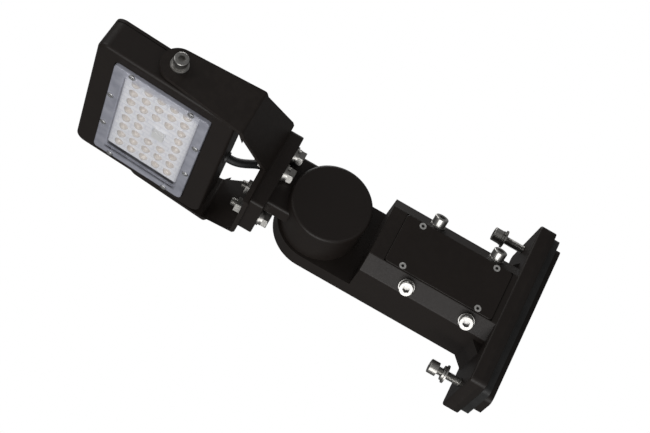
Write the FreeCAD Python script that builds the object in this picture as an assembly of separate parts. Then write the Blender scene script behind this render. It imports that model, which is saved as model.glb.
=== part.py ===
import FreeCAD, Part
import os, math
from FreeCAD import Vector as V

# Adjustable outdoor area light on a direct-mount arm.
# Millimetres. X runs from the pole to the lamp head, Z is up, and Y is the
# axis of the knuckle and of the yoke pivots. The origin is the centre of the
# face that lies against the pole.

os.makedirs("parts", exist_ok=True)

# ---------------------------------------------------------------- dimensions
# mount stack
FL_HY, FL_HZ = 39.5, 85.0          # flange half width, half height
PAD_HY, GSK_HY = 17.0, 30.5        # backing plate and gasket half widths
X_PAD, X_GSK, X_ADP, X_FLG = 7.0, 14.0, 20.0, 30.0   # back-to-front stations
BOLT_Z = 74.0                      # mounting bolts at +-Z
M8, M8_CLR = 4.0, 4.5              # shank and clearance radii
WIRE_R = 13.5                      # wire way through the mount
# arm
AY0, AY1, AHZ = -29.5, 38.5, 40.0  # arm box
AX1 = 156.0                        # arm box front
CH_Y, CH_Z = 12.0, 14.0            # chamfers beside the cover
COV_X0, COV_X1, COV_HZ = 35.0, 142.0, 25.5
CS_X, CS_Z = (50.2, 125.4), 22.0   # cover screws
SET_X = (53.3, 113.4)              # clamp screws in the chamfers
# knuckle
KX, K_R, T_R = 205.0, 37.5, 40.0
T_Y1 = -8.5                        # tongue face
YC = 13.2                          # middle plane of knuckle, yoke and head
GAP = 0.3
AD_X0, AD_X1, AD_HY, AD_HZ = 255.0, 268.0, 28.0, 41.0
AD_Z = -1.0                        # adapter centre height
NECK_HY, NECK_Z0, NECK_Z1 = 9.5, -25.5, 32.5
# yoke bolts, (y from YC, z): the near pair sits high and the far pair low
YB = ((18.0, 24.5), (18.0, 4.3), (-18.0, -27.5), (-18.0, -7.3))
WAY_Z, WAY_R = 10.2, 6.0           # cable way through the neck and adapter
# yoke
Y_T = 4.2
YK_B, YK_A = 30.0, 96.7            # half widths at the base and at the arms
YK_X1, YK_XP = 300.0, 374.0
YK_R = 16.5
PZ = 1.0                           # pivot height
# head
TILT = -3.23                       # rest tilt about the pivots, degrees
H_HX, H_HY, H_R = 67.5, 90.5, 10.0
HZ0, HZ1, HZ2 = -18.0, 9.5, 27.0  # bezel, body back, rear cover back
LN_HX, LN_HY = 47.3, 77.0
LED_PX, LED_PY, LED_Z = 13.0, 15.83, -14.6


# ------------------------------------------------------------------- helpers
def box(x0, x1, y0, y1, z0, z1):
    return Part.makeBox(x1 - x0, y1 - y0, z1 - z0, V(x0, y0, z0))


def cyl(r, p, d, h):
    return Part.makeCylinder(r, h, V(*p), V(*d))


def prism(pts, vec):
    w = Part.makePolygon([V(*p) for p in pts] + [V(*pts[0])])
    return Part.Face(w).extrude(V(*vec))


def rrect(h1, h2, r, c, plane, vec):
    """Rounded rectangle, half sizes h1, h2 about c, in plane 'yz' or 'xy'."""
    k = r * (1 - math.sqrt(0.5))
    P = [(-h1 + r, -h2), (h1 - r, -h2), (h1, -h2 + r), (h1, h2 - r),
         (h1 - r, h2), (-h1 + r, h2), (-h1, h2 - r), (-h1, -h2 + r)]
    M = [None, (h1 - k, -h2 + k), None, (h1 - k, h2 - k), None,
         (-h1 + k, h2 - k), None, (-h1 + k, -h2 + k)]

    def to(p):
        if plane == "yz":
            return V(c[0], c[1] + p[0], c[2] + p[1])
        return V(c[0] + p[0], c[1] + p[1], c[2])
    ed = []
    for i in range(8):
        a, b = to(P[i]), to(P[(i + 1) % 8])
        if M[i] is None:
            ed.append(Part.LineSegment(a, b).toShape())
        else:
            ed.append(Part.Arc(a, to(M[i]), b).toShape())
    return Part.Face(Part.Wire(ed)).extrude(V(*vec))


def fuse(*s):
    r = s[0]
    for t in s[1:]:
        r = r.fuse(t)
    return r.removeSplitter()


def cut(a, *s):
    for t in s:
        a = a.cut(t)
    return a


def fillet(shape, r, pick):
    """Round the edges that pick(edge) selects; keep the shape if it can't."""
    e = [x for x in shape.Edges if pick(x)]
    if not e:
        return shape
    try:
        out = shape.makeFillet(r, e)
        if out.isValid() and out.Volume > 0:
            return out
    except Exception:
        pass
    print("fillet skipped", r, len(e))
    return shape


def hexagon(af, p, d, h):
    """Hex prism across flats af, from p along d."""
    d = V(*d)
    d.normalize()
    u = V(0, 0, 1) if abs(d.z) < 0.9 else V(1, 0, 0)
    u = (u - d * u.dot(d))
    u.normalize()
    w = d.cross(u)
    R = af / math.sqrt(3)
    pts = [V(*p) + u * (R * math.cos(math.radians(60 * i)))
           + w * (R * math.sin(math.radians(60 * i))) for i in range(6)]
    return Part.Face(Part.makePolygon(pts + [pts[0]])).extrude(d * h)


def socket_screw(p, d, length, r=M8, hr=6.5, hh=8.0, af=6.0):
    """Cap screw: underside of the head at p, shank along d."""
    d = V(*d)
    d.normalize()
    P = V(*p)
    head = Part.makeCylinder(hr, hh, P - d * hh, d)
    head = fillet(head, 0.8, lambda e: (e.CenterOfMass - (P - d * hh)).Length < 0.1)
    head = head.cut(hexagon(af, tuple(P - d * (hh + 0.1)), tuple(d), hh * 0.6))
    return head.fuse(Part.makeCylinder(r, length, P, d)).removeSplitter()


def hex_bolt(p, d, length, af=13.0, hh=5.3, r=M8):
    d = V(*d)
    d.normalize()
    P = V(*p)
    head = hexagon(af, tuple(P - d * hh), tuple(d), hh)
    cone = Part.makeCone(af / 2 - 0.3, af / 2 + 8.0, 8.3, P - d * (hh + 0.05), d)
    head = head.common(cone)
    return head.fuse(Part.makeCylinder(r, length, P, d)).removeSplitter()


def ring(ro, ri, p, d, h):
    d = V(*d)
    d.normalize()
    return Part.makeCylinder(ro, h, V(*p), d).cut(
        Part.makeCylinder(ri, h + 2, V(*p) - d, d))


def split_ring(ro, ri, p, d, h, side):
    """Spring washer: a ring with a narrow gap on one side."""
    s = ring(ro, ri, p, d, h)
    c = V(*p) + V(*side) * ((ro + ri) / 2)
    g = 0.6
    b = Part.makeBox(2 * g if abs(side[0]) < .5 else 20, 2 * g if abs(side[1]) < .5 else 20,
                     2 * g if abs(side[2]) < .5 else 20)
    bb = b.BoundBox
    dv = V(*d)
    dv.normalize()
    # the gap box spans the ring's section and its height
    ext = [20 if abs(side[i]) > .5 or abs((dv.x, dv.y, dv.z)[i]) > .5 else 2 * g
           for i in range(3)]
    o = V(c.x - ext[0] / 2, c.y - ext[1] / 2, c.z - ext[2] / 2)
    side_v = V(*side)
    o = o + side_v * 10
    return s.cut(Part.makeBox(ext[0], ext[1], ext[2], o))


NODES = {}


def out(name, shape):
    if isinstance(shape, (list, tuple)):
        shape = Part.makeCompound(list(shape))
    NODES[name] = shape


# --------------------------------------------------------------- mount stack
holes = [cyl(M8_CLR, (-5, 0, z), (1, 0, 0), 60) for z in (BOLT_Z, -BOLT_Z)]
wire = cyl(WIRE_R, (-5, 0, 0), (1, 0, 0), 60)
out("backing_plate", cut(rrect(PAD_HY, FL_HZ - 1, 6, (0, 0, 0), "yz", (X_PAD, 0, 0)), *holes, wire))
out("pole_gasket", cut(rrect(GSK_HY, FL_HZ - 0.5, 5, (X_PAD, 0, 0), "yz", (X_GSK - X_PAD, 0, 0)), *holes, wire))
adp = rrect(FL_HY, FL_HZ, 5, (X_GSK, 0, 0), "yz", (X_ADP - X_GSK, 0, 0))
adp = fillet(adp, 1.0, lambda e: abs(e.CenterOfMass.x - X_GSK) < 0.01)
out("pole_adapter_plate", cut(adp, *holes, wire))

# -------------------------------------------------------------- arm casting
flange = rrect(FL_HY, FL_HZ, 5, (X_ADP, 0, 0), "yz", (X_FLG - X_ADP, 0, 0))
flange = fillet(flange, 2.0, lambda e: abs(e.CenterOfMass.x - X_FLG) < 0.01)
prof = [(AY0, -AHZ), (AY1 - CH_Y, -AHZ), (AY1, -AHZ + CH_Z), (AY1, AHZ - CH_Z),
        (AY1 - CH_Y, AHZ), (AY0, AHZ)]
body = prism([(X_FLG - 4, y, z) for y, z in prof], (AX1 - X_FLG + 4, 0, 0))
body = fillet(body, 2.2, lambda e: abs(e.Length - (AX1 - X_FLG + 4)) < 0.01)
root = []
for s in (1, -1):                  # sloping roots where the box meets the flange
    root.append(prism([(X_FLG - 2, AY0, s * (AHZ + 10)), (X_FLG, AY0, s * (AHZ + 10)), (X_FLG + 10, AY0, s * (AHZ - 0.5)),
                       (X_FLG + 10, AY0, s * (AHZ - 3)), (X_FLG - 2, AY0, s * (AHZ - 3))], (0, 48, 0)))
tongue = box(AX1 - 6, KX, AY0, T_Y1, -AHZ, AHZ).fuse(cyl(T_R, (KX, AY0, 0), (0, 1, 0), T_Y1 - AY0))
tongue = tongue.removeSplitter()
tongue = fillet(tongue, 2.2, lambda e: abs(e.CenterOfMass.y - AY0) < 0.01 and e.CenterOfMass.x > AX1 - 5)
arm = fuse(flange, body, root[0], root[1], tongue)
CAV_X0, CAV_X1 = 26.0, 150.0
cavp = [(-22, -35), (22, -35), (30.5, -25), (30.5, 25), (22, 35), (-22, 35)]
cav = prism([(CAV_X0, y, z) for y, z in cavp], (CAV_X1 - CAV_X0, 0, 0))
recess = box(COV_X0 - 0.4, COV_X1 + 0.4, 36.0, 45, -COV_HZ - 0.4, COV_HZ + 0.4)
opening = box(58, 117.6, 28, 45, -17, 17)
opening2 = box(42, 133, 28, 45, -14, 14)
back_way = cyl(WIRE_R, (X_ADP - 2, 0, 0), (1, 0, 0), 15)
duct = box(146, KX - 8, -21, -14, -6, 6).fuse(box(KX - 24, KX - 12, -21, 0, -6, 6))
bolt_bore = cyl(6.25, (KX, -40, 0), (0, 1, 0), 60)
cbore = cyl(13.0, (KX, AY0 - 1, 0), (0, 1, 0), 5.0)
arm = cut(arm, cav, recess, opening, opening2, back_way, duct, bolt_bore, cbore, *holes)
for x in CS_X:
    for z in (CS_Z, -CS_Z):
        arm = arm.cut(cyl(2.1, (x, 26, z), (0, 1, 0), 20))
nrm = V(0, CH_Z, CH_Y)             # chamfer normals, (y, z)
nrm.normalize()
set_pts = []
for x in SET_X:
    for s in (1, -1):
        n = V(0, nrm.y, s * nrm.z)
        c = V(x, AY1 - CH_Y / 2 - 1.0, s * (AHZ - CH_Z / 2 + 1.15))
        set_pts.append((c, n))
        b = Part.makeCylinder(7.4, 12, c - n * 2.0, n)            # spot face
        h = Part.makeCylinder(M8 + 0.02, 30, c - n * 20, n)
        arm = arm.cut(b).cut(h)
# ring of locating teeth seat: shallow groove for the knuckle seal
arm = arm.cut(ring(35.0, 32.0, (KX, T_Y1 - 1.2, 0), (0, 1, 0), 2.0))
gs = cyl(2.5, (140, -22, 20), (0, -1, 0), 4)
arm = arm.cut(gs)
out("arm_casting", arm)

out("knuckle_seal", ring(34.8, 32.2, (KX, T_Y1 - 1.2, 0), (0, 1, 0), 1.35))

g = box(COV_X0, COV_X1, 36.0, 37.0, -COV_HZ, COV_HZ).cut(opening).cut(opening2)
c = rrect((COV_X1 - COV_X0) / 2, COV_HZ, 3, ((COV_X1 + COV_X0) / 2, 0, 0), "xy", (0, 0, 2.4))
c.rotate(V(0, 0, 0), V(1, 0, 0), -90)
c.translate(V(0, 37.0, 0))
c = fillet(c, 0.6, lambda e: abs(e.CenterOfMass.y - 39.4) < 0.01)
scr = []
for x in CS_X:
    for z in (CS_Z, -CS_Z):
        g = g.cut(cyl(2.6, (x, 30, z), (0, 1, 0), 20))
        c = c.cut(cyl(2.6, (x, 30, z), (0, 1, 0), 20)).cut(
            Part.makeCone(2.6, 3.4, 1.2, V(x, 38.3, z), V(0, 1, 0)))
        hd = Part.makeCone(2.5, 3.2, 1.1, V(x, 38.3, z), V(0, 1, 0))
        sk = cyl(2.0, (x, 28, z), (0, 1, 0), 10.4)
        s1 = hd.fuse(sk).removeSplitter()
        s1 = s1.cut(hexagon(2.6, (x, 38.5, z), (0, 1, 0), 2))
        scr.append(s1)
out("arm_cover_gasket", g)
out("arm_cover", c)
out("arm_cover_screws", scr)
out("clamp_screws", [socket_screw(tuple(c0 + n * 1.0), tuple(-n), 17.0) for c0, n in set_pts])
out("clamp_screw_washers", [ring(7.2, M8 + 0.15, tuple(c0 - n * 2.0), tuple(n), 3.0) for c0, n in set_pts])

# wiring inside the arm
tb = box(84, 124, -22, -8, -16, 16)
for z in (-10, 0, 10):
    tb = tb.cut(cyl(2.0, (80, -16, z), (1, 0, 0), 50)).cut(cyl(2.4, (94, -12.5, z), (0, 1, 0), 8)).cut(
        cyl(2.4, (114, -12.5, z), (0, 1, 0), 8))
out("terminal_block", tb)
out("terminal_screws", [cyl(2.2, (x, -12, z), (0, 1, 0), 3) for x in (94, 114) for z in (-10, 0, 10)])
gsc = cyl(4.6, (140, -22, 20), (0, 1, 0), 3.2).fuse(cyl(2.45, (140, -25.8, 20), (0, 1, 0), 5)).removeSplitter()
gsc = gsc.cut(hexagon(4.0, (140, -20.0, 20), (0, 1, 0), 3))
out("ground_screw", gsc)

# --------------------------------------------------------- mounting bolts
HEAD_X = 53.0                       # underside of the loose bolts' heads
for nm, s in (("upper", 1), ("lower", -1)):
    z = s * BOLT_Z
    out(nm + "_mount_bolt", socket_screw((HEAD_X, 0, z), (-1, 0, 0), 42.0, hh=8.0))
    wx = HEAD_X - (0.3 if s > 0 else 5.0)      # washers hang on the shank
    out(nm + "_spring_washer", split_ring(6.9, 4.15, (wx - 2.1, 0, z), (1, 0, 0), 2.0, (0, 1, 0)))
    out(nm + "_flat_washer", ring(8.6, 4.2, (wx - 3.9, 0, z), (1, 0, 0), 1.6))

# ----------------------------------------------------------- knuckle bolt
kb = hex_bolt((KX, AY0 + 2.0, 0), (0, 1, 0), 50.0, af=19.0, hh=7.5, r=6.0)
out("knuckle_bolt", kb)
out("knuckle_washer", ring(12.0, 6.3, (KX, AY0 + 2.05, 0), (0, 1, 0), 1.9))

# -------------------------------------------------------- knuckle casting
KY0 = T_Y1 + GAP
KY1 = 34.0
drum = cyl(K_R, (KX, KY0, 0), (0, 1, 0), KY1 - KY0)
drum = fillet(drum, 3.0, lambda e: abs(e.CenterOfMass.y - KY1) < 0.01)
neck = box(KX + 18, AD_X0 + 2, YC - NECK_HY, YC + NECK_HY, NECK_Z0, NECK_Z1)
neck = fillet(neck, 3.0, lambda e: abs(e.Length - (AD_X0 + 2 - KX - 18)) < 0.01)
ad = rrect(AD_HY, AD_HZ, 3, (AD_X0, YC, AD_Z), "yz", (AD_X1 - AD_X0, 0, 0))
ad = fillet(ad, 1.2, lambda e: abs(e.CenterOfMass.x - AD_X0) < 0.01)
kn = fuse(drum, neck, ad)
cavd = cyl(32.0, (KX, KY0 + 6, 0), (0, 1, 0), KY1 - KY0 - 11).cut(cyl(11.0, (KX, KY0, 0), (0, 1, 0), 60))
slot = ring(25.0, 14.0, (KX, KY0 - 1, 0), (0, 1, 0), 12).cut(box(KX - 4, KX + 60, -40, 60, -60, 60))
nway = cyl(WAY_R, (KX + 26, YC, WAY_Z), (1, 0, 0), AD_X1 + 2 - KX - 26)
kn = cut(kn, cavd, slot, nway, cyl(6.05, (KX, -20, 0), (0, 1, 0), 46))
for y, z in YB:
    kn = kn.cut(cyl(M8_CLR, (AD_X0 - 5, YC + y, z), (1, 0, 0), 40))
out("knuckle_casting", kn)

# ------------------------------------------------------------------- yoke
o = [(AD_X1, -YK_B), (YK_X1, -YK_A), (YK_XP + YK_R + 1, -YK_A), (YK_XP + YK_R + 1, YK_A), (YK_X1, YK_A), (AD_X1, YK_B)]
ux, uy = YK_X1 - AD_X1, YK_A - YK_B
L = math.hypot(ux, uy)
kb_ = Y_T * (L - uy) / ux            # inner corner offsets for a constant thickness
ki = Y_T * (L - ux) / uy
inn = [(AD_X1 + Y_T, -(YK_B - kb_)), (YK_X1 + ki, -(YK_A - Y_T)), (YK_XP + YK_R + 1, -(YK_A - Y_T)),
       (YK_XP + YK_R + 1, YK_A - Y_T), (YK_X1 + ki, YK_A - Y_T), (AD_X1 + Y_T, YK_B - kb_)]
poly = [o[0], o[1], o[2], inn[2], inn[1], inn[0], inn[5], inn[4], inn[3], o[3], o[4], o[5]]
yk = prism([(x, YC + y, -60) for x, y in poly], (0, 0, 120))


def bend(e):
    b = e.BoundBox
    return b.ZLength > 100 and b.XLength < 0.01 and (
        abs(b.XMin - AD_X1) < 0.1 or abs(b.XMin - YK_X1) < 0.1
        or abs(b.XMin - AD_X1 - Y_T) < 0.1 or abs(b.XMin - YK_X1 - ki) < 0.1)


yk = fillet(yk, 3.0, bend)
# outline of the base and shoulders seen along X: the near shoulder runs up
# to the base and the far one runs down to it
reg1 = prism([(AD_X1 - 5, YC + y, z) for y, z in
              [(98.5, 20.5), (91, 20.5), (34, 43.5), (-32, 43.5), (-34, 8), (-91, 24.5), (-98.5, 24.5),
               (-98.5, -21.5), (-91, -21.5), (-34, -47), (32, -47), (34, -12), (91, -25.5), (98.5, -25.5)]],
             (YK_X1 + 2 - AD_X1 + 5, 0, 0))


def arm_side(y, lo, hi):
    a = prism([(x, y, z) for x, z in
               [(YK_X1 - 3, lo), (YK_X1 + 2, lo), (YK_XP, PZ - YK_R), (YK_XP, PZ + YK_R), (YK_X1 + 2, hi), (YK_X1 - 3, hi)]],
              (0, YK_A + 1, 0))
    return a.fuse(cyl(YK_R, (YK_XP, y, PZ), (0, 1, 0), YK_A + 1))


reg2 = arm_side(YC, -25.5, 20.5).fuse(arm_side(YC - YK_A - 1, -21.5, 24.5))
yk = yk.common(fuse(reg1, reg2)).removeSplitter()
yk = yk.cut(cyl(4.3, (YK_XP, YC - 120, PZ), (0, 1, 0), 240)).cut(cyl(7.5, (AD_X1 - 5, YC, WAY_Z), (1, 0, 0), 20))
for y, z in YB:
    yk = yk.cut(cyl(M8_CLR, (AD_X1 - 5, YC + y, z), (1, 0, 0), 20))
out("yoke", yk)

gr = cyl(7.45, (AD_X1, YC, WAY_Z), (1, 0, 0), Y_T).fuse(cyl(9.5, (AD_X1 + Y_T, YC, WAY_Z), (1, 0, 0), 2.0)).removeSplitter()
gr = gr.cut(Part.makeCone(4.5, 6.3, Y_T + 2.0, V(AD_X1, YC, WAY_Z), V(1, 0, 0)))
out("cable_grommet", gr)

yb, ysw, yfw, yn = [], [], [], []
for y, z in YB:
    y = YC + y
    yb.append(hex_bolt((AD_X0 - 4.2, y, z), (1, 0, 0), 33.0, hh=5.3))
    ysw.append(split_ring(6.9, 4.15, (AD_X0 - 4.15, y, z), (1, 0, 0), 2.4, (0, 1, 0)))
    yfw.append(ring(8.2, 4.2, (AD_X0 - 1.7, y, z), (1, 0, 0), 1.65))
    n = hexagon(13.0, (AD_X1 + Y_T, y, z), (1, 0, 0), 6.5).cut(cyl(4.02, (AD_X1, y, z), (1, 0, 0), 20))
    yn.append(n)
out("yoke_bolts", yb)
out("yoke_spring_washers", ysw)
out("yoke_flat_washers", yfw)
out("yoke_nuts", yn)

# ------------------------------------------------------------------- head
PX = YK_XP
HC = (PX, YC)
HEAD = []


def head(name, shape):
    """Head pieces are drawn level and then turned to the rest tilt."""
    if isinstance(shape, (list, tuple)):
        shape = Part.makeCompound(list(shape))
    shape.rotate(V(PX, 0, PZ), V(0, 1, 0), TILT)
    out(name, shape)
    HEAD.append(name)


hs = rrect(H_HX, H_HY, H_R, (PX, YC, HZ0), "xy", (0, 0, HZ1 - HZ0))
hs = fillet(hs, 3.5, lambda e: abs(e.CenterOfMass.z - HZ0) < 0.01)
hs = hs.cut(rrect(LN_HX + 0.8, LN_HY + 0.8, 4, (PX, YC, HZ0 - 1), "xy", (0, 0, 1 + 2.2)))
hs = hs.cut(rrect(38.5, 68.5, 2, (PX, YC, HZ0), "xy", (0, 0, 5.0)))
hs = hs.cut(rrect(60.0, 81.0, 6, (PX, YC, -9.0), "xy", (0, 0, 40)))
for s in (1, -1):
    y0 = YC + s * H_HY
    hs = hs.fuse(cyl(12.0, (PX, y0 - s * 1.0, PZ), (0, s, 0), 2.7))
    hs = hs.fuse(cyl(9.0, (PX, y0 - s * 20.0, PZ), (0, s, 0), 15.0))
hs = hs.removeSplitter()
pv_len = 20.0
for s in (1, -1):
    y0 = YC + s * (H_HY + 3)
    hs = hs.cut(cyl(M8 + 0.02, (PX, y0, PZ), (0, -s, 0), 21.0))
lens_scr = [(PX + sx * 29.3, YC + sy * 74.0) for sx in (1, -1) for sy in (1, -1)] + \
           [(PX + sx * 43.5, YC + sy * 26.0) for sx in (1, -1) for sy in (1, -1)]
for x, y in lens_scr:
    hs = hs.cut(cyl(1.6, (x, y, -17), (0, 0, 1), 6.5))
rc_scr = [(PX + sx * 59.5, YC + sy * 78.0) for sx in (1, -1) for sy in (1, -1)]
for x, y in rc_scr:
    hs = hs.fuse(cyl(6.0, (x, y, -12), (0, 0, 1), HZ1 + 12))
    hs = hs.cut(cyl(2.0, (x, y, -3), (0, 0, 1), 20))
dr_scr = [(PX + sx * 55.0, YC) for sx in (1, -1)]
for x, y in dr_scr:
    hs = hs.cut(cyl(2.0, (x, y, -11), (0, 0, 1), 5))
GL_Z = 2.0                          # cable bushing in the end wall
hs = hs.cut(cyl(5.5, (PX - 75, YC, GL_Z), (1, 0, 0), 20))
out_hs = hs.common(box(PX - 100, PX + 100, -200, 200, -30, HZ1))
head("head_housing", out_hs)

lc = rrect(LN_HX, LN_HY, 4, (PX, YC, -21.2), "xy", (0, 0, 4.4))
lc = fillet(lc, 1.2, lambda e: abs(e.CenterOfMass.z + 21.2) < 0.01)
lc = lc.cut(rrect(37.5, 67.5, 3, (PX, YC, -19.2), "xy", (0, 0, 10)))
for x, y in lens_scr:
    lc = lc.cut(cyl(1.8, (x, y, -25), (0, 0, 1), 20)).cut(cyl(3.4, (x, y, -25), (0, 0, 1), 5.0))
head("lens_cover", lc)
lg = rrect(LN_HX, LN_HY, 4, (PX, YC, -16.8), "xy", (0, 0, 1.0)).cut(
    rrect(38.5, 68.5, 2, (PX, YC, -20), "xy", (0, 0, 10)))
for x, y in lens_scr:
    lg = lg.cut(cyl(1.8, (x, y, -25), (0, 0, 1), 20))
head("lens_gasket", lg)
ls = []
for x, y in lens_scr:
    s1 = cyl(3.0, (x, y, -22.0), (0, 0, 1), 2.0)
    s1 = fillet(s1, 0.6, lambda e: abs(e.CenterOfMass.z + 22.0) < 0.01)
    s1 = s1.fuse(cyl(1.55, (x, y, -20.0), (0, 0, 1), 8.8)).removeSplitter()
    ls.append(s1.cut(hexagon(2.4, (x, y, -22.2), (0, 0, 1), 1.4)))
head("lens_screws", ls)

head("led_board", rrect(36.5, 66.5, 2, (PX, YC, LED_Z), "xy", (0, 0, 1.6)))
led_xy = [(i, j) for i in range(5) for j in range(8) if not (i in (2, 3) and j in (3, 4))]
pos = [(PX + (2 - i) * LED_PX, YC + (3.5 - j) * LED_PY) for i, j in led_xy]
chips = [box(x - 1.75, x + 1.75, y - 1.75, y + 1.75, LED_Z - 0.7, LED_Z) for x, y in pos]
head("led_chips", chips)
optics = []
for x, y in pos:
    d = Part.makeSphere(4.7, V(x, y, LED_Z + 1.4), V(0, 0, 1)).common(box(x - 6, x + 6, y - 6, y + 6, LED_Z - 3.5, LED_Z - 0.02))
    d = d.cut(box(x - 2.0, x + 2.0, y - 2.0, y + 2.0, LED_Z - 0.95, LED_Z + 1))
    optics.append(d)
head("led_optics", optics)
cxn = box(PX - 13.0, PX - 1.5, YC - 5.5, YC + 5.5, LED_Z - 3.6, LED_Z)
cxn = cxn.cut(box(PX - 13.5, PX - 8, YC - 4, YC + 4, LED_Z - 2.8, LED_Z - 0.8))
head("led_connector", cxn)

dr = rrect(44.0, 27.0, 3, (PX, YC, -9.0), "xy", (0, 0, 22.0))
dr = fillet(dr, 2.0, lambda e: abs(e.CenterOfMass.z - 13.0) < 0.01)
dr = dr.fuse(box(PX - 59, PX + 59, YC - 9, YC + 9, -9.0, -6.5)).removeSplitter()
for x, y in dr_scr:
    dr = dr.cut(cyl(2.2, (x, y, -12), (0, 0, 1), 8))
head("led_driver", dr)

# rear cover with the taper seen at the back, and cooling fins
rb0 = rrect(H_HX, H_HY, H_R, (PX, YC, HZ1 + 1.0), "xy", (0, 0, 3.0))
low = [(-H_HX, -H_HY), (H_HX, -H_HY), (H_HX, H_HY), (-H_HX, H_HY)]


def taper(h1, h2, z0, k1, k2, z1):
    a = Part.makePolygon([V(PX + sx * h1, YC + sy * h2, z0) for sx, sy in ((-1, -1), (1, -1), (1, 1), (-1, 1), (-1, -1))])
    b = Part.makePolygon([V(PX + sx * k1, YC + sy * k2, z1) for sx, sy in ((-1, -1), (1, -1), (1, 1), (-1, 1), (-1, -1))])
    return Part.makeLoft([a, b], True, True)


rc = rb0.fuse(taper(60.0, 81.0, HZ1 + 2.0, 47.0, 58.0, HZ2))
rc = rc.removeSplitter()
rc = rc.cut(taper(55.0, 76.0, HZ1 - 1.0, 43.0, 53.0, HZ2 - 4.0))
fins = []
for k in range(-5, 6):
    fins.append(box(PX - 42, PX + 42, YC + k * 9.0 - 1.4, YC + k * 9.0 + 1.4, HZ2 - 1, HZ2 + 4))
rc = fuse(rc, *fins)
for x, y in rc_scr:
    rc = rc.cut(cyl(2.3, (x, y, 0), (0, 0, 1), 60)).cut(cyl(4.2, (x, y, HZ1 + 4), (0, 0, 1), 40))
head("rear_cover", rc)
rg = rrect(H_HX - 1, H_HY - 1, H_R - 1, (PX, YC, HZ1), "xy", (0, 0, 1.0)).cut(
    rrect(60.0, 81.0, 6, (PX, YC, 0), "xy", (0, 0, 40)))
for x, y in rc_scr:
    rg = rg.fuse(cyl(6.0, (x, y, HZ1), (0, 0, 1), 1.0))
for x, y in rc_scr:
    rg = rg.cut(cyl(2.3, (x, y, 0), (0, 0, 1), 60))
rg = rg.common(rrect(H_HX - 1, H_HY - 1, H_R - 1, (PX, YC, HZ1), "xy", (0, 0, 1.0)))
head("rear_cover_gasket", rg.removeSplitter())
head("rear_cover_screws", [socket_screw((x, y, HZ1 + 4), (0, 0, -1), 14.0, r=1.98, hr=3.5, hh=4.0, af=3.0) for x, y in rc_scr])
head("driver_screws", [cyl(3.4, (PX + s * 55.0, YC, -6.5), (0, 0, 1), 2.2).fuse(
    cyl(1.9, (PX + s * 55.0, YC, -10.5), (0, 0, 1), 4.1)).removeSplitter() for s in (1, -1)])

gl = cyl(5.9, (PX - H_HX - 2.2, YC, GL_Z), (1, 0, 0), 2.2)
gl = fillet(gl, 0.7, lambda e: abs(e.CenterOfMass.x - (PX - H_HX - 2.2)) < 0.01)
gl = gl.fuse(cyl(5.48, (PX - H_HX, YC, GL_Z), (1, 0, 0), 7.5)).fuse(
    cyl(7.0, (PX - H_HX + 7.5, YC, GL_Z - 1.0), (1, 0, 0), 1.2).common(box(PX - 80, PX, -50, 80, -9, GL_Z + 5.5))).removeSplitter()
gl = gl.cut(cyl(4.05, (PX - 75, YC, GL_Z), (1, 0, 0), 30))
head("cable_gland", gl)

pb, psw, pfw = [], [], []
for s in (1, -1):
    y0 = YC + s * YK_A
    pb.append(socket_screw((PX, y0 + s * 3.7, PZ), (0, -s, 0), 24.0))
    psw.append(split_ring(6.9, 4.15, (PX, y0 + s * 1.7, PZ), (0, s, 0), 2.0, (1, 0, 0)))
    pfw.append(ring(8.2, 4.2, (PX, y0 + s * 0.05, PZ), (0, s, 0), 1.6))
head("pivot_bolts", pb)
head("pivot_spring_washers", psw)
head("pivot_flat_washers", pfw)

# ------------------------------------------------------------ power cable
# from the bushing in the head to the adapter neck; drawn at the rest tilt
CR = 4.0
rot = FreeCAD.Rotation(V(0, 1, 0), TILT)
gp = rot.multVec(V(PX - H_HX + 2.0, YC, GL_Z) - V(PX, 0, PZ)) + V(PX, 0, PZ)
# headings in degrees above -X, one straight run each
HEADINGS = [TILT, 11.0, 25.0, 31.5, 25.0, 11.0, 0.0]
RUN = 7.0
pts = [gp]
for h in HEADINGS:
    q = pts[-1]
    pts.append(V(q.x - RUN * math.cos(math.radians(h)), q.y, q.z + RUN * math.sin(math.radians(h))))
ROUTE = [(p.x, p.y, p.z) for p in pts]


def tube(pts, r):
    edges, radii = [], []
    prev = pts[0]
    for i in range(1, len(pts) - 1):
        a, b, c = pts[i - 1], pts[i], pts[i + 1]
        u, w = (b - a), (c - b)
        la, lb = u.Length, w.Length
        u.normalize()
        w.normalize()
        turn = math.acos(max(-1, min(1, u.dot(w))))
        R = 0.45 * min(la, lb) / math.tan(turn / 2)
        radii.append(R)
        t = 0.45 * min(la, lb)
        s, e = b - u * t, b + w * t
        bis = (w - u)
        bis.normalize()
        mid = b + bis * (R / math.cos(turn / 2) - R)
        edges.append(Part.LineSegment(prev, s).toShape())
        edges.append(Part.Arc(s, mid, e).toShape())
        prev = e
    edges.append(Part.LineSegment(prev, pts[-1]).toShape())
    w = Part.Wire(edges)
    d = pts[1] - pts[0]
    d.normalize()
    prof = Part.Wire([Part.Circle(pts[0], d, r).toShape()])
    sh = w.makePipeShell([prof], True, False)
    L = sum(e.Length for e in edges)
    print("cable length %.1f mm, radii %s" % (L, [round(x, 1) for x in radii]))
    print("cable volume %.0f, section x length %.0f" % (sh.Volume, math.pi * r * r * L))
    return sh


cab = tube(pts, CR)
out("power_cable", cab)
print("route", [tuple(round(v, 2) for v in p) for p in ROUTE])
print("gland mouth", round(gp.x, 2), round(gp.z, 2))

# ------------------------------------------------------------------ export
for n, s in NODES.items():
    s.exportStep("parts/%s.step" % n)
    ns = len(s.Solids)
    print("%-24s solids %d valid %s volume %.0f" % (n, ns, s.isValid(), s.Volume))
print(len(NODES), "nodes")
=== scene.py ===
import math
import bpy
import bmesh
from mathutils import Matrix, Vector, Quaternion


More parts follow.
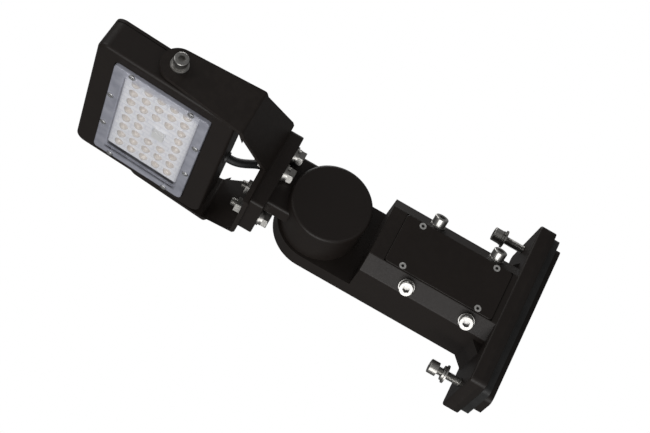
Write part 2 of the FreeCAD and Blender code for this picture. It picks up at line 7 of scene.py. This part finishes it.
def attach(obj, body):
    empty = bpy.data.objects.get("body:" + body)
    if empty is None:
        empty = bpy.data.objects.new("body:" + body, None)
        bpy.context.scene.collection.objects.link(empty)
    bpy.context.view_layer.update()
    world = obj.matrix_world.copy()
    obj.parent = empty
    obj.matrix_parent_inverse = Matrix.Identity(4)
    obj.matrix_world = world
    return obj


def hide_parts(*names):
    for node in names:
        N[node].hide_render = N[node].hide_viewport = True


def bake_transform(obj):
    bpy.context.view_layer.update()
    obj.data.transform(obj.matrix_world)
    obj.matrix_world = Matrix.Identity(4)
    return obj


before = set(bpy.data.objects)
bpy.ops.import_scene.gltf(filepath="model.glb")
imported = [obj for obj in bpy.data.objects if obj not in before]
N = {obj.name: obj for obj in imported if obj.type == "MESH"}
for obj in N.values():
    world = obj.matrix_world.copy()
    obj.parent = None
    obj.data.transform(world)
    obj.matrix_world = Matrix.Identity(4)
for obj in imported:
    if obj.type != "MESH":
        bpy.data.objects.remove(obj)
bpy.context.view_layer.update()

scene = bpy.context.scene
scene.view_settings.view_transform = "Standard"
scene.view_settings.look = "None"

MM = 0.001
TILT = math.radians(-3.23)
PIVOT = Vector((0.374, 0.0132, 0.001))
YC = 0.0132
HEAD_M = Matrix.Translation(PIVOT) @ Matrix.Rotation(TILT, 4, "Y") @ Matrix.Translation(-PIVOT)

# --------------------------------------------------------------- camera
cam_data = bpy.data.cameras.new("camera")
cam = bpy.data.objects.new("camera", cam_data)
scene.collection.objects.link(cam)
scene.camera = cam
right = Vector((-0.86828275, 0.24813084, 0.42955343))
down = Vector((-0.49539104, -0.38843911, -0.77698313))
fwd = Vector((-0.02593812, -0.88743797, 0.46019677))
cam.matrix_world = Matrix((
    (right.x, -down.x, -fwd.x, 0.2404),
    (right.y, -down.y, -fwd.y, 1.2418),
    (right.z, -down.z, -fwd.z, -0.6415),
    (0, 0, 0, 1)))
cam_data.sensor_width = 36.0
cam_data.lens = 1559.8 * 36.0 / 650.0
cam_data.clip_start = 0.05
cam_data.clip_end = 50.0

# ------------------------------------------------------------ node helpers


class Mat:
    """A small helper that adds nodes to a material."""

    def __init__(self, name):
        self.m = bpy.data.materials.new(name)
        self.m.use_nodes = True
        self.t = self.m.node_tree
        self.b = self.t.nodes["Principled BSDF"]
        self.out = self.t.nodes["Material Output"]
        self.coord = self.t.nodes.new("ShaderNodeTexCoord")

    def set(self, **k):
        names = {"base": "Base Color", "rough": "Roughness", "metal": "Metallic", "spec": "Specular IOR Level",
                 "ior": "IOR", "trans": "Transmission Weight", "coat": "Coat Weight", "coat_rough": "Coat Roughness",
                 "alpha": "Alpha", "sheen": "Sheen Weight", "sub": "Subsurface Weight", "aniso": "Anisotropic"}
        for a, v in k.items():
            self.b.inputs[names[a]].default_value = v
        return self

    def node(self, kind, **props):
        n = self.t.nodes.new("ShaderNode" + kind)
        for a, v in props.items():
            setattr(n, a, v)
        return n

    def link(self, a, b):
        self.t.links.new(a, b)

    def mapping(self, scale=(1, 1, 1), rot=(0, 0, 0)):
        mp = self.node("Mapping")
        mp.inputs["Scale"].default_value = scale
        mp.inputs["Rotation"].default_value = rot
        self.link(self.coord.outputs["Object"], mp.inputs["Vector"])
        return mp.outputs[0]

    def noise(self, scale, detail=3.0, rough=0.5, vec=None, dist=0.0):
        n = self.node("TexNoise")
        n.inputs["Scale"].default_value = scale
        n.inputs["Detail"].default_value = detail
        n.inputs["Roughness"].default_value = rough
        n.inputs["Distortion"].default_value = dist
        self.link(vec or self.coord.outputs["Object"], n.inputs["Vector"])
        return n.outputs["Fac"]

    def voronoi(self, scale, feature="F1", vec=None, out="Distance"):
        n = self.node("TexVoronoi", feature=feature)
        n.inputs["Scale"].default_value = scale
        self.link(vec or self.coord.outputs["Object"], n.inputs["Vector"])
        return n.outputs[out]

    def ramp(self, fac, stops):
        r = self.node("ValToRGB")
        e = r.color_ramp.elements
        while len(e) < len(stops):
            e.new(0.5)
        for x, (p, c) in zip(e, stops):
            x.position = p
            x.color = c if len(c) == 4 else (*c, 1)
        self.link(fac, r.inputs["Fac"])
        return r.outputs["Color"]

    def range(self, fac, a, b, c, d):
        r = self.node("MapRange")
        for k, v in zip(("From Min", "From Max", "To Min", "To Max"), (a, b, c, d)):
            r.inputs[k].default_value = v
        self.link(fac, r.inputs["Value"])
        return r.outputs["Result"]

    def mix(self, fac, a, b, mode="MIX"):
        m = self.node("Mix", data_type="RGBA", blend_type=mode)
        if isinstance(fac, (int, float)):
            m.inputs[0].default_value = fac
        else:
            self.link(fac, m.inputs[0])
        for i, v in ((6, a), (7, b)):
            if isinstance(v, (tuple, list)):
                m.inputs[i].default_value = v if len(v) == 4 else (*v, 1)
            else:
                self.link(v, m.inputs[i])
        return m.outputs[2]

    def math(self, op, a, b=0.0):
        m = self.node("Math", operation=op)
        for i, v in enumerate((a, b)):
            if isinstance(v, (int, float)):
                m.inputs[i].default_value = v
            else:
                self.link(v, m.inputs[i])
        return m.outputs[0]

    def bump(self, h, strength, dist, after=None):
        b = self.node("Bump")
        b.inputs["Strength"].default_value = strength
        b.inputs["Distance"].default_value = dist
        self.link(h, b.inputs["Height"])
        if after is not None:
            self.link(after, b.inputs["Normal"])
        return b.outputs["Normal"]

    def color(self, c):
        self.link(c, self.b.inputs["Base Color"])
        return self

    def rough(self, r):
        self.link(r, self.b.inputs["Roughness"])
        return self

    def normal(self, n):
        self.link(n, self.b.inputs["Normal"])
        return self


def powder(name, tone=1.0, rough=0.46):
    """Dark bronze powder coat: fine orange peel, tiny specks, dusty edges."""
    m = Mat(name)
    big = m.noise(22.0, 4.0, 0.6)
    fine = m.noise(620.0, 2.0, 0.5)
    peel = m.noise(1500.0, 1.0, 0.4)
    c = m.ramp(big, [(0.3, (0.0118 * tone, 0.0088 * tone, 0.0074 * tone)),
                     (0.7, (0.0134 * tone, 0.0101 * tone, 0.0085 * tone))])
    speck = m.ramp(m.voronoi(900.0), [(0.0, (1.9, 1.8, 1.7)), (0.16, (1.0, 1.0, 1.0))])
    c = m.mix(0.5, c, speck, "MULTIPLY")
    geo = m.node("NewGeometry")
    edge = m.range(geo.outputs["Pointiness"], 0.52, 0.62, 0.0, 1.0)
    wear = m.math("MULTIPLY", edge, m.range(m.noise(160.0, 3.0), 0.42, 0.62, 0.0, 1.0))
    c = m.mix(m.math("MULTIPLY", wear, 0.05), c, (0.075, 0.062, 0.052))
    m.color(c)
    r = m.range(fine, 0.3, 0.7, rough - 0.03, rough + 0.04)
    m.rough(r)
    n1 = m.bump(peel, 0.12, 0.00008)
    n2 = m.bump(fine, 0.09, 0.00012, n1)
    m.normal(n2)
    m.set(spec=0.26, ior=1.5)
    return m.m


def steel(name, axis=0, base=(0.50, 0.49, 0.47), rough=0.33):
    """Stainless steel with fine turning marks and faint stains."""
    m = Mat(name)
    sc = [1500.0, 1500.0, 1500.0]
    sc[axis] = 60.0
    grain = m.noise(1.0, 2.0, 0.5, m.mapping(tuple(sc)))
    blot = m.noise(140.0, 3.0, 0.6)
    c = m.ramp(blot, [(0.25, tuple(v * 0.78 for v in base)), (0.75, base)])
    c = m.mix(m.range(grain, 0.3, 0.7, 0.0, 0.25), c, tuple(v * 0.72 for v in base))
    m.color(c)
    m.rough(m.range(grain, 0.25, 0.75, rough - 0.06, rough + 0.10))
    m.normal(m.bump(grain, 0.18, 0.00006))
    m.set(metal=1.0)
    return m.m


def rubber(name, base=(0.012, 0.012, 0.012), rough=0.62):
    m = Mat(name)
    g = m.noise(700.0, 4.0, 0.6)
    d = m.noise(45.0, 4.0, 0.6)
    c = m.ramp(d, [(0.35, base), (0.75, tuple(v * 1.9 + 0.002 for v in base))])
    m.color(c)
    m.rough(m.range(g, 0.3, 0.7, rough - 0.08, rough + 0.10))
    m.normal(m.bump(g, 0.25, 0.00012))
    m.set(spec=0.4)
    return m.m


def plastic(name, base, rough=0.4, spread=0.12):
    m = Mat(name)
    g = m.noise(480.0, 3.0, 0.5)
    d = m.noise(35.0, 4.0, 0.6)
    c = m.ramp(d, [(0.3, tuple(v * (1 - spread) for v in base)), (0.7, base)])
    m.color(c)
    m.rough(m.range(g, 0.3, 0.7, rough - 0.07, rough + 0.07))
    m.normal(m.bump(g, 0.12, 0.00008))
    return m.m


def clear_cover(name):
    """Clear cover moulding: see-through window, milky and bluish in the thick rim."""
    m = Mat(name)
    sep = m.node("SeparateXYZ")
    mp = m.node("Mapping")
    mp.inputs["Location"].default_value = (-PIVOT.x, -YC, 0)
    m.link(m.coord.outputs["Object"], mp.inputs["Vector"])
    m.link(mp.outputs[0], sep.inputs[0])
    ax = m.math("ABSOLUTE", sep.outputs[0])
    ay = m.math("ABSOLUTE", sep.outputs[1])
    rim = m.math("MAXIMUM", m.range(ax, 0.0345, 0.0385, 0.0, 1.0), m.range(ay, 0.0645, 0.0685, 0.0, 1.0))
    cloud = m.noise(60.0, 3.0, 0.6)
    c = m.ramp(cloud, [(0.3, (0.42, 0.43, 0.50)), (0.7, (0.56, 0.57, 0.65))])
    m.color(c)
    a = m.range(rim, 0.0, 1.0, 0.05, 0.58)
    a = m.math("ADD", a, m.range(cloud, 0.3, 0.7, -0.02, 0.03))
    m.link(a, m.b.inputs["Alpha"])
    m.rough(m.range(m.noise(300.0, 2.0), 0.3, 0.7, 0.08, 0.16))
    m.normal(m.bump(m.noise(90.0, 2.0), 0.05, 0.0003))
    m.set(ior=1.49, spec=0.5)
    return m.m


def optic(name):
    m = Mat(name)
    cl = m.noise(420.0, 2.0, 0.5)
    c = m.ramp(cl, [(0.3, (0.88, 0.80, 0.72)), (0.7, (0.94, 0.89, 0.84))])
    m.color(c)
    m.link(m.range(cl, 0.3, 0.7, 0.56, 0.68), m.b.inputs["Alpha"])
    m.rough(m.range(cl, 0.3, 0.7, 0.05, 0.12))
    m.set(ior=1.5)
    return m.m


def board_mat(name):
    """White solder mask with faint copper runs under it."""
    m = Mat(name)
    d = m.noise(70.0, 3.0, 0.6)
    base = m.ramp(d, [(0.3, (0.90, 0.90, 0.93)), (0.7, (0.96, 0.96, 0.98))])
    w = m.node("TexBrick")
    w.inputs["Scale"].default_value = 38.0
    w.inputs["Mortar Size"].default_value = 0.035
    w.inputs["Color1"].default_value = (1, 1, 1, 1)
    w.inputs["Color2"].default_value = (0.95, 0.96, 0.97, 1)
    w.inputs["Mortar"].default_value = (0.84, 0.85, 0.88, 1)
    m.link(m.coord.outputs["Object"], w.inputs["Vector"])
    m.color(m.mix(0.8, base, w.outputs["Color"], "MULTIPLY"))
    m.rough(m.range(d, 0.3, 0.7, 0.30, 0.42))
    m.normal(m.bump(w.outputs["Fac"], 0.1, 0.00005))
    return m.m


def cover_screw(name):
    """Bright zinc-plated head with painted shade (a dark disc) over the hex recess in the middle."""
    m = Mat(name)
    sep = m.node("SeparateXYZ")
    m.link(m.coord.outputs["Object"], sep.inputs[0])
    x = m.math("SUBTRACT", m.math("ABSOLUTE", m.math("SUBTRACT", sep.outputs[0], 0.0878)), 0.0376)
    z = m.math("SUBTRACT", m.math("ABSOLUTE", sep.outputs[2]), 0.022)
    rad = m.math("SQRT", m.math("ADD", m.math("MULTIPLY", x, x), m.math("MULTIPLY", z, z)))
    turn = m.noise(900.0, 2.0, 0.5)
    c = m.ramp(turn, [(0.3, (0.55, 0.54, 0.52)), (0.7, (0.74, 0.73, 0.71))])
    # painted shade: a near-black disc over each hex recess stands in for the shade inside it
    painted_socket_shade = m.range(rad, 0.00125, 0.00160, 1.0, 0.0)
    c = m.mix(painted_socket_shade, c, (0.03, 0.028, 0.026))
    m.color(c)
    m.rough(m.range(turn, 0.3, 0.7, 0.38, 0.55))
    m.set(metal=0.8)
    m.normal(m.bump(turn, 0.2, 0.00006))
    return m.m


M = {
    "coat": powder("bronze_powder_coat"),
    "coat_sheet": powder("bronze_powder_coat_sheet", 1.05, 0.43),
    "coat_dark": powder("bronze_powder_coat_plate", 0.8, 0.5),
    "steel_x": steel("stainless_along_x", 0, (0.40, 0.39, 0.37), 0.36),
    "steel_y": steel("stainless_along_y", 1),
    "steel_z": steel("stainless_along_z", 2),
    "rubber": rubber("black_rubber"),
    "jacket": rubber("cable_jacket", (0.006, 0.006, 0.0065), 0.6),
    "nylon": plastic("black_nylon", (0.02, 0.02, 0.02), 0.45),
    "cover_screw": cover_screw("arm_cover_screw"),
    "brass": steel("brass", 1, (0.72, 0.55, 0.25), 0.28),
    "cover": clear_cover("clear_lens_cover"),
    "optic": optic("led_optic"),
    "board": board_mat("led_board_white"),
    "white": plastic("white_connector", (0.82, 0.82, 0.80), 0.35),
    "phosphor": plastic("led_phosphor", (0.97, 0.74, 0.46), 0.4, 0.12),
    "screw_light": steel("lens_screw_steel", 2, (0.74, 0.74, 0.75), 0.4),
    "case": steel("driver_case", 0, (0.6, 0.6, 0.61), 0.35),
}

ASSIGN = {
    "backing_plate": "coat_dark", "pole_gasket": "rubber", "pole_adapter_plate": "coat_dark",
    "arm_casting": "coat", "knuckle_seal": "rubber", "arm_cover_gasket": "rubber", "arm_cover": "coat_sheet",
    "arm_cover_screws": "cover_screw", "clamp_screws": "steel_y", "clamp_screw_washers": "steel_y",
    "terminal_block": "nylon", "terminal_screws": "brass", "ground_screw": "brass",
    "knuckle_bolt": "steel_y", "knuckle_washer": "steel_y",
    "upper_mount_bolt": "steel_x", "upper_spring_washer": "steel_x", "upper_flat_washer": "steel_x",
    "lower_mount_bolt": "steel_x", "lower_spring_washer": "steel_x", "lower_flat_washer": "steel_x",
    "knuckle_casting": "coat", "yoke": "coat_sheet", "cable_grommet": "rubber",
    "yoke_bolts": "steel_x", "yoke_spring_washers": "steel_x", "yoke_flat_washers": "steel_x", "yoke_nuts": "steel_x",
    "head_housing": "coat", "lens_cover": "cover", "lens_gasket": "rubber", "lens_screws": "screw_light",
    "led_board": "board", "led_chips": "phosphor", "led_optics": "optic", "led_connector": "white",
    "led_driver": "case", "rear_cover": "coat", "rear_cover_gasket": "rubber", "rear_cover_screws": "steel_z",
    "driver_screws": "steel_z", "cable_gland": "nylon", "pivot_bolts": "steel_y",
    "pivot_spring_washers": "steel_y", "pivot_flat_washers": "steel_y", "power_cable": "jacket",
}


def paint(obj, mat):
    if not obj.data.materials:
        obj.data.materials.append(mat)
    for s in obj.material_slots:
        s.link = "OBJECT"
        s.material = mat


for n, key in ASSIGN.items():
    paint(N[n], M[key])


def new_obj(name, bm, mat, smooth=True):
    me = bpy.data.meshes.new(name)
    bm.to_mesh(me)
    bm.free()
    o = bpy.data.objects.new(name, me)
    scene.collection.objects.link(o)
    me.materials.append(mat)
    if smooth:
        for p in me.polygons:
            p.use_smooth = True
    return o


# ------------------------------------------------------------ power cable
ROUTE = [(0.30855, YC, -0.00169), (0.30156, YC, -0.00209), (0.29469, YC, -0.00075), (0.28834, YC, 0.00221),
         (0.28237, YC, 0.00586), (0.27603, YC, 0.00882), (0.26916, YC, 0.01016), (0.26216, YC, 0.01016)]
cu = bpy.data.curves.new("cable_route", "CURVE")
cu.dimensions = "3D"
sp = cu.splines.new("NURBS")
sp.points.add(len(ROUTE) - 1)
for p, c in zip(sp.points, ROUTE):
    p.co = (*c, 1)
sp.order_u = 3
sp.use_endpoint_u = True
sp.resolution_u = 12
co = bpy.data.objects.new("cable_route", cu)
scene.collection.objects.link(co)
bpy.context.view_layer.update()
line = bpy.data.meshes.new_from_object(co)
PATH = [v.co.copy() for v in line.vertices]
bpy.data.objects.remove(co)
length = sum((b - a).length for a, b in zip(PATH, PATH[1:]))


def tube_along(path, radius, seg=32):
    bm = bmesh.new()
    rings = []
    side = Vector((0, 1, 0))
    for i, p in enumerate(path):
        a = path[max(0, i - 1)]
        b = path[min(len(path) - 1, i + 1)]
        d = (b - a).normalized()
        u = side
        w = d.cross(u).normalized()
        rings.append([bm.verts.new(p + u * math.cos(2 * math.pi * k / seg) * radius
                                   + w * math.sin(2 * math.pi * k / seg) * radius) for k in range(seg)])
    for r0, r1 in zip(rings, rings[1:]):
        for k in range(seg):
            bm.faces.new((r0[k], r0[(k + 1) % seg], r1[(k + 1) % seg], r1[k]))
    bm.faces.new(list(reversed(rings[0])))
    bm.faces.new(rings[-1])
    bmesh.ops.recalc_face_normals(bm, faces=bm.faces)
    return bm


cable = new_obj("cable_jacket", tube_along(PATH, 0.004), M["jacket"])
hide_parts("power_cable")
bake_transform(cable)


# ----------------------------------------------------- threaded fasteners
def screw_thread(bm, tip, direction, length, r_out, pitch, depth, seg=28, lead=0.0008):
    """Helical thread from the tip backwards along -direction; closed ends."""
    d = Vector(direction).normalized()
    u = Vector((0, 0, 1)) if abs(d.z) < 0.9 else Vector((0, 1, 0))
    u = (u - d * u.dot(d)).normalized()
    w = d.cross(u)
    tip = Vector(tip)
    n = int(length / pitch * 8)
    rings = []
    for i in range(n + 1):
        s0 = length * i / n
        ring = []
        for k in range(seg):
            ph = (s0 / pitch - k / seg) % 1.0
            tri = abs(2.0 * ph - 1.0)
            rr = r_out - depth * min(1.0, max(0.0, (1.0 - tri) * 1.25 - 0.08))
            rr -= max(0.0, lead - s0) * 0.8
            if s0 > length - pitch:
                rr = rr + (r_out - rr) * min(1.0, (s0 - (length - pitch)) / pitch)
            a = 2 * math.pi * k / seg
            ring.append(bm.verts.new(tip - d * s0 + (u * math.cos(a) + w * math.sin(a)) * rr))
        rings.append(ring)
    for r0, r1 in zip(rings, rings[1:]):
        for k in range(seg):
            bm.faces.new((r0[k], r0[(k + 1) % seg], r1[(k + 1) % seg], r1[k]))
    bm.faces.new(list(reversed(rings[0])))
    bm.faces.new(rings[-1])


def threaded(node, body, shanks, mat, pitch=0.00125, depth=0.00072):
    """The node's own heads, with a real thread in place of each plain shank.

    shanks holds (tip, direction towards the tip, length, radius) in metres.
    """
    src = N[node]
    bm = bmesh.new()
    bm.from_mesh(src.data)
    bm.transform(src.matrix_world)
    gone = set()
    for v in bm.verts:
        for tip, d, length, radius in shanks:
            dv = Vector(d)
            rel = Vector(tip) - v.co
            s0 = rel.dot(dv)
            if -2e-4 < s0 < length - 2e-4 and (rel - dv * s0).length < radius + 2e-4:
                gone.add(v)
    bmesh.ops.delete(bm, geom=list(gone), context="VERTS")
    for f in bm.faces:
        f.smooth = False
    n0 = len(bm.faces)
    for tip, d, length, radius in shanks:
        screw_thread(bm, tip, d, length + 0.0002, radius - 0.00003, pitch, depth)
    bm.faces.ensure_lookup_table()
    for f in bm.faces[n0:]:
        f.smooth = True
    bmesh.ops.recalc_face_normals(bm, faces=bm.faces[n0:])
    me = bpy.data.meshes.new(node + "_threaded")
    bm.to_mesh(me)
    bm.free()
    o = bpy.data.objects.new(node + "_threaded", me)
    scene.collection.objects.link(o)
    me.materials.clear()
    me.materials.append(mat)
    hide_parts(node)
    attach(o, body)
    return o


threaded("upper_mount_bolt", "upper_bolt", [((0.011, 0, 0.074), (-1, 0, 0), 0.042, 0.004)], M["steel_x"])
threaded("lower_mount_bolt", "lower_bolt", [((0.011, 0, -0.074), (-1, 0, 0), 0.042, 0.004)], M["steel_x"])
YB = ((0.018, 0.0245), (0.018, 0.0043), (-0.018, -0.0275), (-0.018, -0.0073))
threaded("yoke_bolts", "knuckle",
         [((0.2838, YC + y, z), (1, 0, 0), 0.033, 0.004) for y, z in YB], M["steel_x"])


# ------------------------------------------------------------ stage, light
def plane(name, size, z, mat):
    bm = bmesh.new()
    bmesh.ops.create_grid(bm, x_segments=2, y_segments=2, size=size)
    for v in bm.verts:
        v.co.z += z
    o = new_obj(name, bm, mat, False)
    return o


fl = Mat("pale_floor")
fl.color(fl.ramp(fl.noise(3.0, 3.0), [(0.3, (0.80, 0.80, 0.79)), (0.7, (0.84, 0.84, 0.83))]))
fl.set(rough=0.8)
plane("floor", 12.0, -2.5, fl.m)

world = bpy.data.worlds.new("studio")
scene.world = world
world.use_nodes = True
wt = world.node_tree
bg = wt.nodes["Background"]
bg.inputs["Color"].default_value = (1, 1, 1, 1)
bg.inputs["Strength"].default_value = 0.14
bg2 = wt.nodes.new("ShaderNodeBackground")
bg2.inputs["Color"].default_value = (1, 1, 1, 1)
bg2.inputs["Strength"].default_value = 1.0
lp = wt.nodes.new("ShaderNodeLightPath")
mx = wt.nodes.new("ShaderNodeMixShader")
wt.links.new(lp.outputs["Is Camera Ray"], mx.inputs[0])
wt.links.new(bg.outputs[0], mx.inputs[1])
wt.links.new(bg2.outputs[0], mx.inputs[2])
wt.links.new(mx.outputs[0], wt.nodes["World Output"].inputs["Surface"])


def area(name, loc, target, size, power, color=(1, 1, 1)):
    ld = bpy.data.lights.new(name, "AREA")
    ld.shape = "RECTANGLE"
    ld.size, ld.size_y = size
    ld.energy = power
    ld.color = color
    o = bpy.data.objects.new(name, ld)
    scene.collection.objects.link(o)
    o.location = loc
    o.rotation_mode = "QUATERNION"
    o.rotation_quaternion = (Vector(target) - Vector(loc)).to_track_quat("-Z", "Y")
    o.visible_camera = False
    return o


C = (0.22, 0.015, 0.0)
area("softbox_above", (0.75, 0.10, 1.4), C, (1.0, 0.8), 12.0)
area("softbox_below", (0.1, 0.5, -1.3), C, (1.2, 0.9), 15.5)
area("softbox_head_side", (1.3, 0.8, 0.1), C, (0.8, 0.8), 5.0)
area("strip_front", (-0.5, 1.2, -0.2), C, (0.15, 1.0), 1.5)
